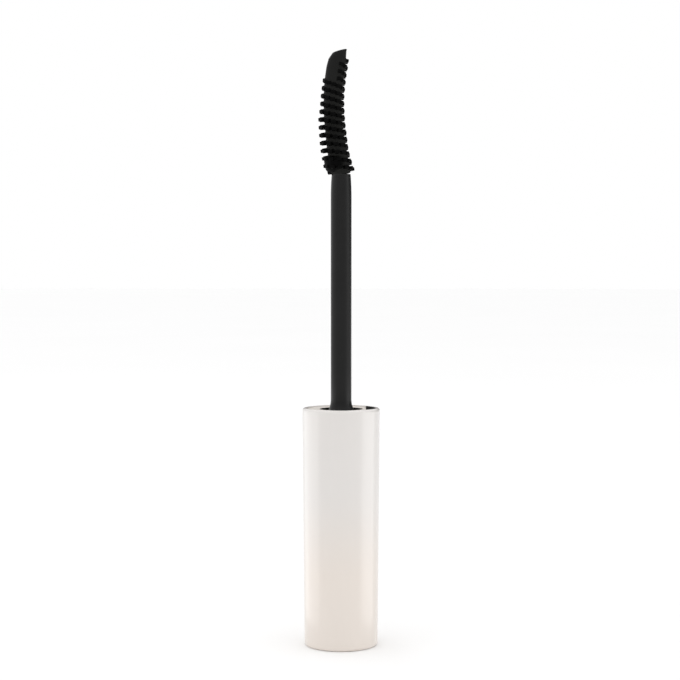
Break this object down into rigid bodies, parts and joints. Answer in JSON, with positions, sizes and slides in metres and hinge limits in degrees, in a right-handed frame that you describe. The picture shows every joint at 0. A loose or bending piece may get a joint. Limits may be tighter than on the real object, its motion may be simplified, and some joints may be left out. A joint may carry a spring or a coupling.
{
  "type": "mascara applicator",
  "caption": "Round capped mascara wand: tapered glossy cap, slim dark stem and a bowed elastomer brush with spiral rows of short bristles.",
  "frame": {"origin": "centre of the cap's closed end, on the face it stands on", "axes": "+Z along the stem from the closed end to the brush tip; the brush bows towards -X; +Y completes the right-handed frame"},
  "size_m": [0.0168, 0.0168, 0.1296],
  "materials": {
    "cap_plastic": "satin gloss cream white",
    "weight_steel": "turned",
    "pad_foam": "closed-cell foam",
    "sleeve_plastic": "moulded beige",
    "insert_plastic": "moulded black",
    "gasket_rubber": "smooth",
    "stem_plastic": "satin black",
    "spine_plastic": "moulded dark grey",
    "brush_elastomer": "moulded black elastomer"
  },
  "bodies": {
    "root": {"cap_shell": "cap_plastic", "weight": "weight_steel", "weight_pad": "pad_foam", "inner_sleeve": "sleeve_plastic", "thread_insert": "insert_plastic", "neck_gasket": "gasket_rubber", "stem": "stem_plastic", "brush_spine": "spine_plastic", "bristle_sleeve": "brush_elastomer"}
  },
  "joints": []
}
